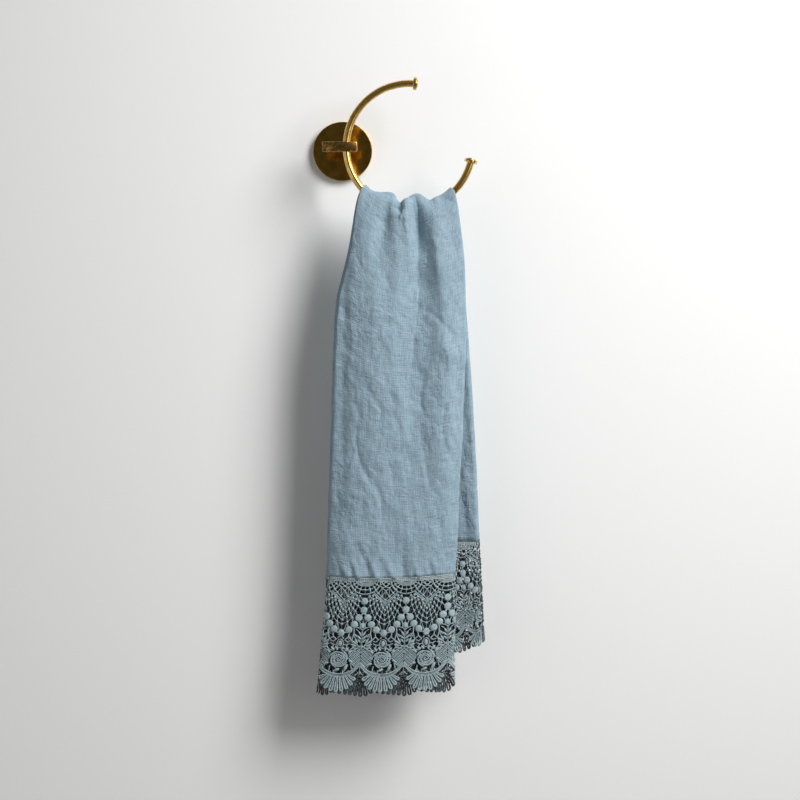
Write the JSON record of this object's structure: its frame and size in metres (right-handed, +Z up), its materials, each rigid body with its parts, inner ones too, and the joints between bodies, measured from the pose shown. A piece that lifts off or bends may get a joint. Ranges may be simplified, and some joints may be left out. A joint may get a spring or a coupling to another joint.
{
  "type": "linen hand towel with lace ends on a wall towel ring",
  "caption": "Linen hand towel with deep corded lace ends, folded in four along its length and hung over an open brass ring that a round wall plate holds.",
  "frame": {"origin": "the centre of the wall plate's back face", "axes": "+Z up, +Y into the wall, +X to the right as seen from the room"},
  "size_m": [0.1554, 0.0639, 0.5449],
  "materials": {
    "brass": "polished, lightly aged",
    "dark_brass": "polished, darkened with age",
    "linen": "plain woven linen, washed and crumpled",
    "lace": "corded cotton lace with open gaps"
  },
  "bodies": {
    "root": {"wall_plate": "dark_brass", "stem": "dark_brass", "clamp_bar": "dark_brass", "ring": "brass", "end_cap_top": "brass", "end_cap_side": "brass", "linen_panel": "linen", "lace_front": "lace", "lace_back": "lace"}
  },
  "joints": []
}
